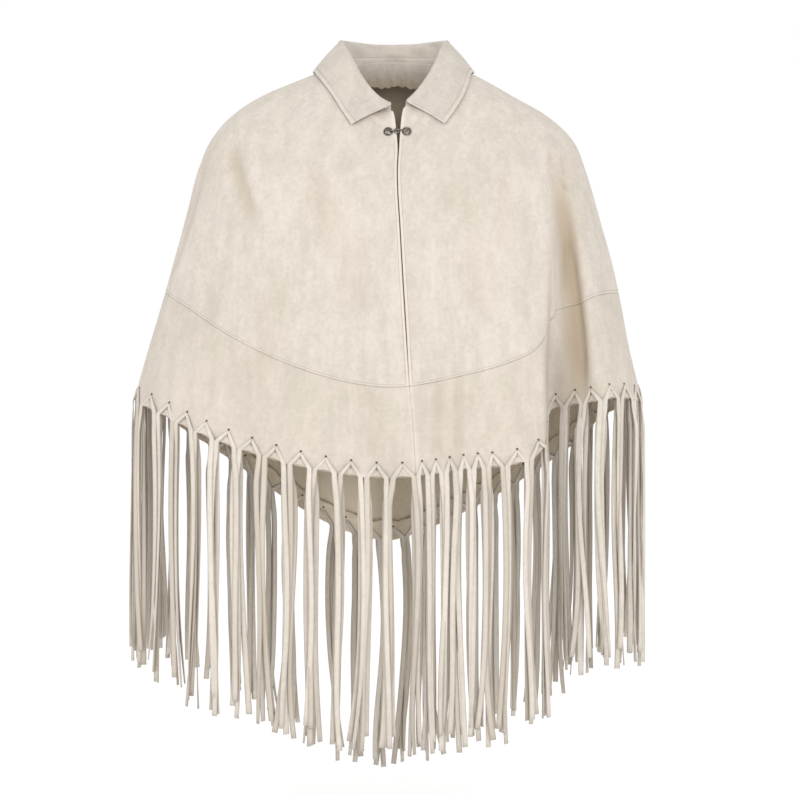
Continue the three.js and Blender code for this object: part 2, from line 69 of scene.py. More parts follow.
# The body from the neck to the hem, one row a ring: half widths on -X and +X, depths in front and
# behind, heights at the middle of the front, the sides and the middle of the back, the exponent of
# the rounded outline, and half the width of the front slit
RINGS = np.array([
    (71, 79, 78, 62, -76, 0, 9, 2.0, 9.5),
    (108, 115, 92, 84, -93, -16, -2, 2.1, 4.5),
    (178, 168, 107, 104, -124, -46, -30, 2.2, 1.4),
    (223, 219, 121, 119, -158, -76, -68, 2.3, 1.3),
    (252, 256, 133, 131, -194, -111, -118, 2.4, 1.3),
    (269, 273, 143, 140, -236, -153, -182, 2.5, 1.3),
    (284, 290, 152, 148, -297, -208, -274, 2.6, 1.3),
    (300, 306, 161, 157, -375, -264, -408, 2.6, 1.3),
    (315, 318, 169, 168, -454, -320, -553, 2.7, 0.2),
    (338, 333, 175, 180, -515, -395, -612, 2.7, 0.2),
    (359, 351, 181, 190, -575, -470, -674, 2.7, 0.2),
])
LEFT, RIGHT, FRONT, BACK, Z_FRONT, Z_SIDE, Z_BACK, CORNER, SLIT = range(9)

# How a ring rises from the middle of the front or the back to the sides
RISE_FRONT = 1.75
RISE_BACK = 1.5

# How far the middle of the front leans towards +X, in degrees, one number a ring
SLIT_LEAN = np.array([0, 0, -0.25, -1.5, -1.8, -1.5, -1.1, -0.5, 0.1, 0.7, 0.8])

# Hanging folds: column in degrees from the front towards +X, widths before and after it, depth at
# the hem, and the ring where the fold begins. A fold over DEEP_FOLD grows late on its way down
FOLDS = [
    (42, 7, 9, 74, 3), (30, 16, 10, -9, 3), (-52, 14, 14, 7, 3.5), (-84, 14, 14, 5, 5),
    (84, 14, 14, 7, 5), (124, 15, 14, 19, 4), (154, 13, 14, 17, 5), (-171, 15, 13, 14, 5.5),
    (-141, 14, 14, 21, 4.5), (-113, 13, 13, 14, 4),
]
DEEP_FOLD = 50
GROWTH = 1.2
LATE_GROWTH = 2.2

# The same columns and widths, for how far the cloth rises at the hem and from which ring, and for how
# far its columns turn at the neck and at the hem
RISES = [(31, 22, 9, -10, 3), (44, 11, 30, 34, 3), (-170, 26, 26, -9, 6)]
SWINGS = [(0, 75, 36, 3.5, 4.6), (42, 36, 36, 15, -3.5)]

# The collar from the middle of the back to one front edge: column on the neck seam, column and ring
# of the outer edge, and height of the stand
COLLAR = np.array([
    (180, 180, 1.08, 26), (158, 160, 1.08, 28), (135, 140, 1.06, 32), (112, 118, 1.02, 33.5),
    (90, 94, 1.0, 31.5), (70, 74, 1.0, 29), (52, 55, 1.05, 27), (38, 42, 1.16, 21),
    (26, 32.5, 1.34, 15), (16, 26.5, 1.5, 10), (7.5, 23, 1.63, 6.5),
])
COLLAR_THICK = 2.4
ROLL = 4.2
COLLAR_LEAN = 5.0
COLLAR_CLEAR = 1.3
FOOT_IN = 0.4
COLLAR_RISE = 1.0
FALL_CROWN = 1.6
WALL = 2.0

# Where the stand and the roll end, as shares of the way from the foot to the outer edge
STAND_END, ROLL_END = 0.27, 0.42

# Soft creases pressed into the cloth, by the side that they face: width, depth, which is less than 0
# for a ridge, and points as (x or y, z)
CREASES = {
    "front": (
        (8, -1.6, (203, -118), (209, -190), (213, -300), (213, -440)),
        (12, -6.0, (216, -170), (220, -300), (224, -440)),
        (17, 12.0, (230, -110), (236, -260), (246, -400), (252, -520)),
        (7, 5.0, (241, -220), (246, -300), (254, -390), (258, -490)),
        (4, 3.4, (239, -240), (234, -300), (229, -350)), (5, 1.8, (228, -320), (232, -380), (236, -430)),
        (4, 1.8, (236, -132), (239, -150), (238, -172)),
        (3.2, 3.0, (234, -171), (240, -179), (239, -186)),
        (6, 1.6, (222, -128), (219, -142), (214, -158)),
        (9, 6.4, (-224, -104), (-213, -146), (-197, -194), (-175, -246)),
        (4, 2.0, (-228, -154), (-224, -160)), (10, -2.4, (-196, -142), (-178, -196), (-168, -240)),
        (4, 1.8, (-36, -84), (-14, -100)), (6, 1.8, (-48, -88), (-22, -112)),
        (4, 1.8, (42, -84), (24, -102)), (6, 1.8, (58, -92), (34, -116)),
        (9, 2.2, (-76, -60), (-84, -100), (-80, -150)), (26, 2.6, (-120, -150), (-60, -260), (-30, -380)),
        (14, 2.2, (-100, -130), (-96, -220), (-88, -300)),
        (24, 2.4, (70, -140), (110, -260), (120, -400)), (14, 2.0, (150, -110), (160, -200), (158, -300)),
        (20, 3.4, (-150, -300), (-170, -420), (-172, -470)),
        (12, 3.4, (-34, -430), (-22, -490), (-24, -570)), (8, 3.4, (62, -420), (64, -490), (60, -570)),
        (7, 4.2, (90, -420), (92, -490), (88, -570)), (10, 2.2, (-232, -270), (-240, -330), (-246, -380)),
    ),
    "right": (
        (14, 4.4, (-40, -90), (-52, -170), (-60, -330)), (16, 5.0, (30, -80), (46, -180), (60, -380)),
        (8, -2.4, (2, -110), (6, -190), (4, -270)),
    ),
    "left": (
        (15, 5.2, (36, -84), (48, -170), (62, -370)), (12, 4.0, (-18, -96), (-26, -160), (-30, -290)),
    ),
    "back": (
        (20, 5.4, (-150, -80), (-120, -220), (-112, -440)),
        (12, 3.0, (-82, -90), (-66, -240), (-60, -420)), (22, 5.6, (140, -76), (116, -230), (100, -460)),
        (13, -3.0, (60, -100), (52, -260), (56, -430)), (20, 4.2, (10, -60), (-8, -220), (4, -520)),
        (9, 2.6, (-60, -40), (-20, -70), (50, -46)), (8, 2.0, (-90, -52), (-60, -92), (-20, -108)),
        (14, 4.4, (210, -120), (190, -240), (184, -400)),
        (14, 4.4, (-208, -118), (-186, -250), (-190, -400)),
    ),
}

# Bundles of fringe, counted from the middle of the front towards +X, and where round the hem they
# hang, in parts of 54: they are closest together on the right half of the front
LACE_PLACES = np.array([(0, 0), (5.5, 2.7), (7.5, 4.4), (10.5, 7.6), (16, 12.1), (48.5, 43.6), (60, 54)])

# The level direction that each side faces, and the factors that make a direction level
FACINGS = {"front": (0, -1), "back": (0, 1), "left": (1, 0), "right": (-1, 0)}
LEVEL = np.array((1, 1, 0))


def chance(n):
    """A number from 0 to 1 that looks random and is the same in each run."""
    x = np.sin(np.asarray(n, float) * 127.1 + 311.7) * 43758.5453
    return x - np.floor(x)


def mix(a, b, t):
    return a + (b - a) * t


def eased(low, high, x):
    """0 below low, 1 above high, and a soft step between."""
    t = np.clip((np.asarray(x, float) - low) / (high - low), 0, 1)
    return t * t * (3 - 2 * t)


def bell(x, middle, width):
    """1 at the middle, and almost 0 two widths away from it."""
    return np.exp(-(((x - middle) / width) ** 2))


def along(rows, v):
    """A smooth curve through the rows of a table."""
    rows = np.asarray(rows, float)
    padded = np.concatenate(([2 * rows[0] - rows[1]], rows, [2 * rows[-1] - rows[-2]]))
    v = np.asarray(v, float)
    i = np.clip(np.floor(v).astype(int), 0, len(rows) - 2)
    t = v - i
    p0, p1, p2, p3 = padded[i], padded[i + 1], padded[i + 2], padded[i + 3]
    m1, m2 = (p2 - p0) / 2, (p3 - p1) / 2
    return p1 + t * (m1 + t * (3 * (p2 - p1) - 2 * m1 - m2 + t * (2 * (p1 - p2) + m1 + m2)))


def strength(column, middle, before, after):
    """How strongly a fold acts at a column, from 0 to 1."""
    off = (column - middle + 180) % 360 - 180
    t = np.abs(off) / np.where(off < 0, before, after)
    return np.where(t < 1, 0.5 + 0.5 * np.cos(np.pi * np.minimum(t, 1)), 0)


def growth(start, v, power=GROWTH):
    return np.clip((v - start) / (HEM - start), 0, 1.1) ** power


def unit(vectors):
    return vectors / np.maximum(np.linalg.norm(vectors, axis=-1, keepdims=True), 1e-9)


def run_along(points):
    """How far along a line of points each of them is."""
    return np.concatenate(([0], np.cumsum(np.linalg.norm(np.diff(points, axis=0), axis=1))))


def body(column, v):
    """The outside of the cloth at columns in degrees and rings counted from the neck."""
    column, v = np.broadcast_arrays(np.asarray(column, float), np.asarray(v, float))
    angle = column.copy()
    for middle, before, after, at_neck, at_hem in SWINGS:
        angle += mix(at_neck, at_hem, v / HEM) * strength(column, middle, before, after)
    angle += along(SLIT_LEAN, v) * strength(column, 0, 60, 30)
    sin, cos = np.sin(np.radians(angle)), np.cos(np.radians(angle))
    row = [along(RINGS[:, k], v) for k in range(8)]
    corner = row[CORNER]
    reach = (np.abs(sin) ** corner + np.abs(cos) ** corner) ** (1 / corner)
    across, ahead = sin / reach, -cos / reach
    width = np.where(sin > 0, row[RIGHT], row[LEFT])
    depth = np.where(cos > 0, row[FRONT], row[BACK])
    middle_z = np.where(cos > 0, row[Z_FRONT], row[Z_BACK])
    bend = np.where(cos > 0, RISE_FRONT, RISE_BACK)
    z = row[Z_SIDE] + (middle_z - row[Z_SIDE]) * (1 - np.abs(across) ** bend)
    outward = unit(np.stack([
        np.sign(across) * np.abs(across) ** (corner - 1) / width,
        np.sign(ahead) * np.abs(ahead) ** (corner - 1) / depth,
        np.zeros_like(z),
    ], axis=-1))
    point = np.stack([width * across, depth * ahead, z], axis=-1)
    for middle, before, after, deep, start in FOLDS:
        power = LATE_GROWTH if deep > DEEP_FOLD else GROWTH
        inward = deep * growth(start, v, power) * strength(column, middle, before, after)
        point = point - inward[..., None] * outward
    for middle, before, after, rise, start in RISES:
        point[..., 2] += rise * growth(start, v) * strength(column, middle, before, after)
    return point


def facing(column, v):
    """The direction that points straight out of the cloth."""
    low = np.clip(v, 0.02, HEM - 0.02)
    around = body(column + 0.1, low) - body(column - 0.1, low)
    down = body(column, low + 0.02) - body(column, low - 0.02)
    return unit(np.cross(down, around))


def from_line(across, z, points):
    """Distance from a line of points, and how far along it the nearest place is, from 0 to 1."""
    best = np.full(across.shape, 1e9)
    place = np.zeros(across.shape)
    spans = [math.dist(a, b) for a, b in zip(points, points[1:])]
    passed = 0.0
    for (a, b), span in zip(zip(points, points[1:]), spans):
        dx, dz = (b[0] - a[0]) / span, (b[1] - a[1]) / span
        run = np.clip((across - a[0]) * dx + (z - a[1]) * dz, 0, span)
        off = np.hypot(across - a[0] - run * dx, z - a[1] - run * dz)
        nearer = off < best
        best = np.where(nearer, off, best)
        place = np.where(nearer, (passed + run) / sum(spans), place)
        passed += span
    return best, place


def creased(point, normal):
    """How far the listed creases and the loose hang of the suede lift each point."""
    x, y, z = (point[..., k] for k in range(3))
    lift = np.zeros(x.shape)
    for side, rows in CREASES.items():
        fx, fy = FACINGS[side]
        shows = eased(0.15, 0.5, normal[..., 0] * fx + normal[..., 1] * fy)
        for width, depth, *line in rows:
            off, place = from_line(x if fy else y, z, line)
            fade = eased(0, 0.3, place) * eased(1, 0.7, place) if len(line) > 2 else 1
            lift -= depth * bell(off, 0, width) * (0.06 + 0.94 * fade) * shows
    ripple = np.sin(x / 31 + 1.3 * np.sin(z / 57)) * np.sin(z / 46 + y / 39 + 0.8)
    ripple += 0.6 * np.sin(x / 17 - z / 71 + 2.1) * np.sin(z / 29 + 0.4 * np.sin(y / 21))
    return lift + 0.38 * ripple


def cloth(column, v, out):
    """A place on the creased cloth, a distance out from it. The neck seam has no creases."""
    point, normal = body(column, v), facing(column, v)
    lift = creased(point, normal) * eased(0, 0.8, v) + out
    return point + lift[..., None] * normal


# Arc length round the hem, for columns that stand equally far apart there
HEM_STEPS = np.linspace(0, 360, 2881)
HEM_LENGTHS = run_along(body(HEM_STEPS, HEM))
HEM_TOTAL = HEM_LENGTHS[-1]


def column_at(j):
    """The column of a bundle of fringe, where j is even, or of a lace hole, where it is odd."""
    turns = np.floor(np.asarray(j, float) / FULL)
    number = np.asarray(j, float) / 2 - turns * LACE_COUNT
    length = np.interp(number, *LACE_PLACES.T) / LACE_PLACES[-1, 1] * HEM_TOTAL
    return np.interp(length, HEM_LENGTHS, HEM_STEPS) + 360 * turns


# The bundles at the two sides, where the fronts meet the back
SIDE_LEFT, SIDE_RIGHT = (
    2 * int(np.argmin(np.abs(column_at(np.arange(0, FULL, 2)) - angle))) for angle in (90, 270)
)


def per_ring(column, low, high):
    """Millimetres of cloth in one ring, measured between two rings."""
    return np.linalg.norm(body(column, high) - body(column, low), axis=-1) / (high - low)


def ring_above(column, distance):
    """The ring a distance above the hem."""
    return HEM - distance / per_ring(column, HEM - 1, HEM)


def between_bundles(count):
    """0 at a bundle of fringe and 1 at the lace hole between two."""
    return 0.5 - 0.5 * np.cos(np.pi * count)


def per_degree(column, v):
    """Millimetres of cloth in one degree round the body."""
    return np.linalg.norm(body(column + 0.5, v) - body(column - 0.5, v), axis=-1)


def slit_edge(v, side):
    """Distance of a front edge from the middle of the front. The neck opens further to +X."""
    drift = 5.5 * eased(2.2, 0.0, v)
    return along(RINGS[:, SLIT], v) * mix(1, 0.5, eased(1.7, 3.0, v)) + side * drift


# Shader nodes written as expressions


def maths(operation, reflected=False):
    def method(self, other):
        inputs = (other, self) if reflected else (self, other)
        return node(self.tree, "ShaderNodeMath", {"operation": operation}, dict(enumerate(inputs)))

    return method


class Value:
    """A shader socket that adds, subtracts and multiplies by adding Math nodes."""

    def __init__(self, tree, socket):
        self.tree = tree
        self.socket = socket

    __add__, __radd__ = maths("ADD"), maths("ADD", True)
    __sub__, __rsub__ = maths("SUBTRACT"), maths("SUBTRACT", True)
    __mul__, __rmul__ = maths("MULTIPLY"), maths("MULTIPLY", True)

    def clamped(self, low=0.0, high=1.0):
        settings = {"interpolation_type": "SMOOTHSTEP"}
        inputs = {"Value": self, "From Min": low, "From Max": high, "To Min": 0.0, "To Max": 1.0}
        return node(self.tree, "ShaderNodeMapRange", settings, inputs, "Result")


def node(tree, kind, settings, inputs, output=0):
    """Adds a node with its settings and inputs, and returns one of its outputs."""
    made = tree.nodes.new(kind)
    for name, value in settings.items():
        setattr(made, name, value)
    for key, value in inputs.items():
        if isinstance(value, Value):
            tree.links.new(value.socket, made.inputs[key])
        else:
            made.inputs[key].default_value = value
    return Value(tree, made.outputs[output])


def blended(tree, factor, a, b):
    """One colour over another."""
    return node(tree, "ShaderNodeMix", {"data_type": "RGBA"}, {0: factor, 6: a, 7: b}, 2)


def new_material(name, constants):
    """A material, its nodes and its shader, with the constants set on the shader."""
    made = bpy.data.materials.new(name)
    made.use_nodes = True
    shader = next(n for n in made.node_tree.nodes if n.type == "BSDF_PRINCIPLED")
    for key, value in constants.items():
        shader.inputs[key].default_value = value
    return made, made.node_tree, shader


def joined(shader, values):
    for key, value in values.items():
        value.tree.links.new(value.socket, shader.inputs[key])


def place_of(tree, scale=(1, 1, 1)):
    spot = node(tree, "ShaderNodeTexCoord", {}, {}, "Object")
    return node(tree, "ShaderNodeMapping", {}, {"Vector": spot, "Scale": scale})


def noise(tree, place, scale, detail, rough=0.55):
    inputs = {"Vector": place, "Scale": scale, "Detail": detail, "Roughness": rough}
    return node(tree, "ShaderNodeTexNoise", {}, inputs, "Fac")


def bumped(tree, strong, distance, height):
    inputs = {"Strength": strong, "Distance": distance, "Height": height}
    return node(tree, "ShaderNodeBump", {}, inputs, "Normal")


def linear(colour):
    """A colour from 0 to 255 as the shader needs it."""
    parts = [c / 255 for c in colour]
    return tuple(c / 12.92 if c <= 0.04045 else ((c + 0.055) / 1.055) ** 2.4 for c in parts) + (1.0,)


def scaled(colour, *amounts):
    """A colour times one amount, or times one each for red, green and blue."""
    amounts = amounts * 3 if len(amounts) == 1 else amounts
    return tuple(min(c * a, 1.0) for c, a in zip(colour, amounts)) + (1.0,)


MATT = {"Roughness": 1.0, "Specular IOR Level": 0.0}
SUEDE = {
    "Roughness": 0.95, "Specular IOR Level": 0.18, "Sheen Weight": 0.12, "Sheen Roughness": 0.6}
HOLE_SHADE = linear((104, 92, 77))
# Painted light low in the middle of the inside back, and painted shade high inside, darkest at the neck
PAINTED_LIGHT_INSIDE = linear((219, 206, 186))
PAINTED_SHADE_INSIDE = linear((172, 160, 141))
PAINTED_SHADE_NECK = linear((120, 109, 93))

# Red, green and blue as shares: of the suede's inner side, darker partly as its own colour and partly
# as painted shade; of the painted shade in its folds, under the collar and in the facing; and of the
# strips' own darker tones and their painted shade
INNER_SIDE_AND_SHADE = (0.88, 0.825, 0.715)
PAINTED_SHADE_TONE = (0.70, 0.635, 0.53)
STRIP_TONE_AND_SHADE = (0.70, 0.665, 0.61)


def suede_material(name, colour, nap, streaks=0.0, deep=False):
    """Brushed suede: cloudy patches, finger marks in the nap and a fine even grain."""
    made, tree, shader = new_material(name, SUEDE)
    place = place_of(tree)
    patches = noise(tree, place, 6.0, 3.0, 0.5)
    brushed = noise(tree, place_of(tree, (1, 1, 0.16)), 46.0, 4.0, 0.62)
    marks = noise(tree, place_of(tree, (1, 1, 0.6)), 60.0, 3.0, 0.6)
    specks = noise(tree, place, 170.0, 2.0, 0.6)
    grain = noise(tree, place, 620.0, 3.0, 0.7)
    fibre = noise(tree, place, 2100.0, 2.0, 0.6)
    tone = (patches - 0.5) * 0.5 + (brushed - 0.5) * 1.1 + (marks - 0.5) * 0.8
    tone = tone + (specks - 0.5) * 0.8 + (grain - 0.5) * nap + 0.5
    if streaks:
        strips = noise(tree, place_of(tree, (150, 150, 2.6)), 1.0, 2.0, 0.5)
        tone = tone + (strips - 0.5) * streaks
    rosy = scaled(colour, 0.85, 0.85 * 0.99, 0.85 * 0.985)
    olive = scaled(colour, 0.85 * 0.98, 0.85, 0.85 * 0.95)
    tint = noise(tree, place_of(tree, (1, 1, 0.5)), 16.0, 2.0, 0.5)
    shade = blended(tree, tint.clamped(0.4, 0.6), rosy, olive)
    base = blended(tree, tone.clamped(), shade, scaled(colour, 1.05))
    if deep:
        # Painted light on the middle of the back low down, and painted shade that darkens the inside
        # upwards to the neck
        across, height = (
            node(tree, "ShaderNodeSeparateXYZ", {}, {"Vector": place}, axis) for axis in "XZ"
        )
        light = across.clamped(-0.125, -0.085) * (1 - across.clamped(-0.045, 0.0))
        light = light * (1 - height.clamped(-0.63, -0.54))
        base = blended(tree, light, base, PAINTED_LIGHT_INSIDE)
        below_neck = (height * -1.0 - 0.045) * 16.0
        painted_dimming = blended(tree, below_neck.clamped(), PAINTED_SHADE_INSIDE, PAINTED_SHADE_NECK)
        base = blended(tree, ((height + 0.42) * 3.4).clamped(), base, painted_dimming)
    else:
        # Where the vertex attribute is above 0 the suede is paler: wear and painted highlight at rims,
        # and painted light on crests and on the collar's stand. Below 0 it is darker and browner: painted
        # shade in folds, under the collar and in the facing, and the strips' own darker tones with their
        # painted shade
        wear_and_light = node(tree, "ShaderNodeAttribute", {"attribute_name": "wear_and_painted_light"}, {}, "Fac")
        base = blended(tree, wear_and_light * (specks * 0.6 + 0.55), base, scaled(colour, 1.16))
        base = blended(tree, wear_and_light * -1.0, base, scaled(colour, *(STRIP_TONE_AND_SHADE if streaks else PAINTED_SHADE_TONE)))
    relief = bumped(tree, 0.32, 0.0007, grain * 0.6 + fibre * 0.4 + marks * 0.5)
    joined(shader, {"Base Color": base, "Normal": relief})
    return made


def plain_material(name, scale, dark, light, constants):
    """A colour that differs a little from place to place."""
    made, tree, shader = new_material(name, constants)
    joined(shader, {"Base Color": blended(tree, noise(tree, place_of(tree), scale, 2.0), dark, light)})
    return made


def metal_material(name, colour):
    """Aged silver, darker where polish does not reach."""
    made, tree, shader = new_material(name, {"Metallic": 1.0})
    place = place_of(tree)
    tarnish = noise(tree, place, 260.0, 4.0, 0.65)
    joined(shader, {
        "Base Color": blended(tree, tarnish.clamped(0.35, 0.65), colour, scaled(colour, 0.2)),
        "Roughness": tarnish * 0.35 + 0.22,
        "Normal": bumped(tree, 0.25, 0.0002, noise(tree, place, 900.0, 3.0)),
    })
    return made


MATERIALS = {}


def material(name):
    """The poncho's materials, made when first used from the colours in the sidebar."""
    if name not in MATERIALS:
        choice = bpy.context.scene.poncho
        suede, strips, thread, metal = (
            scaled(colour, 1.0) for colour in (choice.suede, choice.strips, choice.thread, choice.metal)
        )
        inner = scaled(suede, *INNER_SIDE_AND_SHADE)
        maker, *values = {
            "suede": (suede_material, "brushed_suede", suede, choice.nap),
            "inside": (suede_material, "suede_inside", inner, choice.nap, 0.0, True),
            "collar": (suede_material, "collar_suede", scaled(suede, 0.92), choice.nap),
            "strips": (suede_material, "suede_strips", strips, choice.nap, 0.9),
            "thread": (plain_material, "sewing_thread", 1500.0, scaled(thread, 0.8),
                       scaled(thread, 1.05), {"Roughness": 0.8}),
            "hole": (plain_material, "lace_hole", 900.0, scaled(HOLE_SHADE, 0.6), HOLE_SHADE, MATT),
            "metal": (metal_material, "aged_silver", metal),
        }[name]
        MATERIALS[name] = maker(*values)
    return MATERIALS[name]


# Meshes


def added(name, data):
    made = bpy.data.objects.new(name, data)
    bpy.context.scene.collection.objects.link(made)
    return made


def meshed(name, bm):
    """Makes an object from a bmesh whose points are in metres."""
    mesh = bpy.data.meshes.new(name)
    bm.to_mesh(mesh)
    bm.free()
    return added(name, mesh)


def finished(name, bm, looks, replaces=(), thick=0.0, offset=-1.0):
    """Makes a piece of the garment, which rides with it. thick is the thickness of its wall in
    millimetres, and the inside of the wall takes the second material."""
    made = meshed(name, bm)
    for look in looks.split():
        made.data.materials.append(material(look))
    made.data.shade_smooth()
    if thick:
        solid = made.modifiers.new("thickness", "SOLIDIFY")
        solid.thickness = thick * MM
        solid.offset = offset
        solid.use_even_offset = False
        solid.material_offset = len(made.data.materials) - 1
    if replaces:
        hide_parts(*replaces)
    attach(made, "root")
    return made


def net(across, down, place, count=1):
    """A bmesh of count nets of cells. place(u, w, number) gives their points in millimetres, and may
    give as well an amount of wear and of painted light and shade for each point."""
    bm = bmesh.new()
    wear_and_painted_light = bm.verts.layers.float.new("wear_and_painted_light")
    for _ in range(count):
        bmesh.ops.create_grid(bm, x_segments=across, y_segments=down, size=1.0)
    bm.verts.ensure_lookup_table()
    flat = np.array([v.co[:2] for v in bm.verts])
    u, w = (flat[:, 0] + 1) / 2, (1 - flat[:, 1]) / 2
    number = np.arange(len(u)) // ((across + 1) * (down + 1))
    placed = place(u, w, number)
    points, wear_and_light = placed if isinstance(placed, tuple) else (placed, np.zeros(len(u)))
    for vertex, point, amount in zip(bm.verts, points * MM, wear_and_light):
        vertex.co = point
        vertex[wear_and_painted_light] = amount
    return bm


def set_at(point, turn):
    """Matrix of a place in millimetres and a turn."""
    return Matrix.Translation(Vector(point) * MM) @ turn


def pointing(ahead):
    return Vector(ahead).to_track_quat("Z", "Y").to_matrix().to_4x4()


def pebble(bm, point, turn, size, fineness):
    """A small rounded body, from its place and half sizes in millimetres."""
    where = set_at(point, turn) @ Matrix.Diagonal((*(s * MM for s in size), 1.0))
    bmesh.ops.create_icosphere(bm, subdivisions=fineness, radius=1.0, matrix=where)


def crowded(share, cells, length):
    """Moves evenly spaced lines of a net closer together near both of its edges."""
    near = np.array((0.0, 0.7, 1.5, 2.6, 4.2)) / length
    steps = np.concatenate((np.arange(5), cells - np.arange(4, -1, -1)))
    return np.interp(share * cells, steps, np.concatenate((near, 1 - near[::-1])))


# Over how many degrees a panel's columns make room for its seams, and how far the neck's edges curl
EASED_OVER = 24
NECK_CURL = 5.5


def panel_place(start, end, across, down, top, bottom, edges, scallop):
    """Where each point of a panel goes. start and end are columns counted in half laces, and edges
    gives how far each edge rolls in and over what distance."""

    def place(u, w, _number):
        u = crowded(u, across, (end - start) * HEM_TOTAL / FULL)
        w = crowded(w, down, (bottom - top) * 50)
        v = mix(top, bottom, w)
        first, last = column_at(start), column_at(end)
        first_scale, last_scale = per_degree(first, v), per_degree(last, v)
        low = first + (slit_edge(v, 1) if start == 0 else SEAM_GAP / 2) / first_scale
        high = last - (slit_edge(v, -1) if end == FULL else SEAM_GAP / 2) / last_scale
        count = mix(start, end, u)
        even = column_at(count)
        column = even + (low - first) * eased(first + EASED_OVER, first, even)
        column = column - (last - high) * eased(last - EASED_OVER, last, even)
        near_first, near_last = (column - low) * first_scale, (high - column) * last_scale
        if scallop:
            dip = scallop * between_bundles(count)
            v = v - w ** 6 * (HEM - ring_above(column, dip))
        above = (v - top) * per_ring(column, top, top + 0.5)
        below = (bottom - v) * per_ring(column, bottom - 0.5, bottom)
        lift = np.zeros_like(u)
        for distance, (drop, width) in zip((near_first, near_last, above, below), edges):
            lift -= drop * bell(np.maximum(distance, 0), 0, width)
        if bottom == HEM:
            rumpled = np.sin(count * 1.9 + 1) + 0.8 * np.sin(count * 0.77) * np.sin(count * 3.1)
            lift += 1.5 * eased(24, 2, below) * rumpled * eased(0, 9, near_first) * eased(0, 9, near_last)
        # The open edges of the slit curl out at the neck, and are thicker at their rim. Their rim and the
        # hem's edge are paler, partly from wear and partly as a painted highlight
        free = near_first if start == 0 else near_last if end == FULL else np.full_like(u, 1e3)
        open_neck = eased(2.0, 0.7, v) * eased(0.08, 0.4, v)
        lift += open_neck * NECK_CURL * bell(np.maximum(free, 0), 0, 8) + 0.35 * bell(free, 2.0, 1.6)
        rim = 1.6 + 3.0 * eased(2.0, 1.4, v)
        wear_and_light = np.where(v < SEAM, bell(free, 1.3, rim), 0) + 0.3 * bell(below, 2.2, 1.4)
        # The collar shades the cloth beside the slit
        under_collar = strength(column, 17, 13, 17) + strength(column, -13, 17, 11)
        wear_and_light = wear_and_light - 0.5 * under_collar * eased(0.05, 0.3, v) * eased(1.15, 0.6, v)
        if top == SEAM:
            wear_and_light = wear_and_light - 0.12 + 0.5 * bell(free, 0, 2.4)
        point, normal = body(column, v), facing(column, v)
        raised = creased(point, normal) * eased(0, 0.8, v)
        # Painted light on raised creases, and painted shade, darker and browner, in sunk ones
        wear_and_light = wear_and_light + 0.5 * np.clip(raised / 9, 0, 1) - 0.95 * np.clip(-raised / 12 - 0.05, 0, 1.3)
        return point + (raised + lift)[..., None] * normal, wear_and_light

    return place


# How far an edge rolls in and over what distance
SEWN, LAPPED = (0.95, 1.0), (0.3, 0.9)

# Top and bottom ring, the first, last, top and bottom edge, and how far the hem dips between bundles
UPPER_CUT = (NECK, SEAM, (SEWN, SEWN, (0.0, 4.0), SEWN), 0.0)
BAND_CUT = (SEAM, HEM, (LAPPED, LAPPED, SEWN, (0.4, 1.2)), 3.4)

# Name, first and last column, and cells across and down
UPPERS = [
    ("upper_front_left", 0, SIDE_LEFT, 112, 96),
    ("upper_front_right", SIDE_RIGHT, FULL, 96, 96),
    ("upper_back", SIDE_LEFT, SIDE_RIGHT, 168, 118),
]
BANDS = [
    ("band_front_left", 0, SIDE_LEFT, 150, 30),
    ("band_front_right", SIDE_RIGHT, FULL, 130, 30),
    ("band_back", SIDE_LEFT, SIDE_RIGHT, 260, 30),
]


def panel(name, start, end, across, down, cut):
    bm = net(across, down, panel_place(start, end, across, down, *cut))
    return finished("cloth_" + name, bm, "suede inside", [name], CLOTH_THICK)


def turned_hem(name, start, end):
    """The hem, turned up inside a band, with a puckered and bunched edge."""

    def place(u, w, _number):
        count = mix(start, end, 0.001 + 0.998 * u)
        column = column_at(count)
        pucker = np.sin(count * 2.3) + 0.8 * np.sin(count * 5.1 + 2 * np.sin(count * 0.7))
        height = mix(HEM_TURN, 1.4, w) + 1.5 * pucker * (1 - w)
        bunched = 1.6 * between_bundles(count) * eased(18, 6, height)
        bunched = bunched * np.abs(np.sin(count * 1.7 + height / 3.1))
        bunched += 0.9 * (1 + np.sin(count * 4.3 + height / 4)) * eased(0.6, 0.0, w)
        return cloth(column, ring_above(column, height), -CLOTH_THICK - 0.25 - bunched)

    bm = net((end - start) * 7, 12, place)
    return finished("turned_hem_" + name, bm, "inside", thick=TURN_THICK)


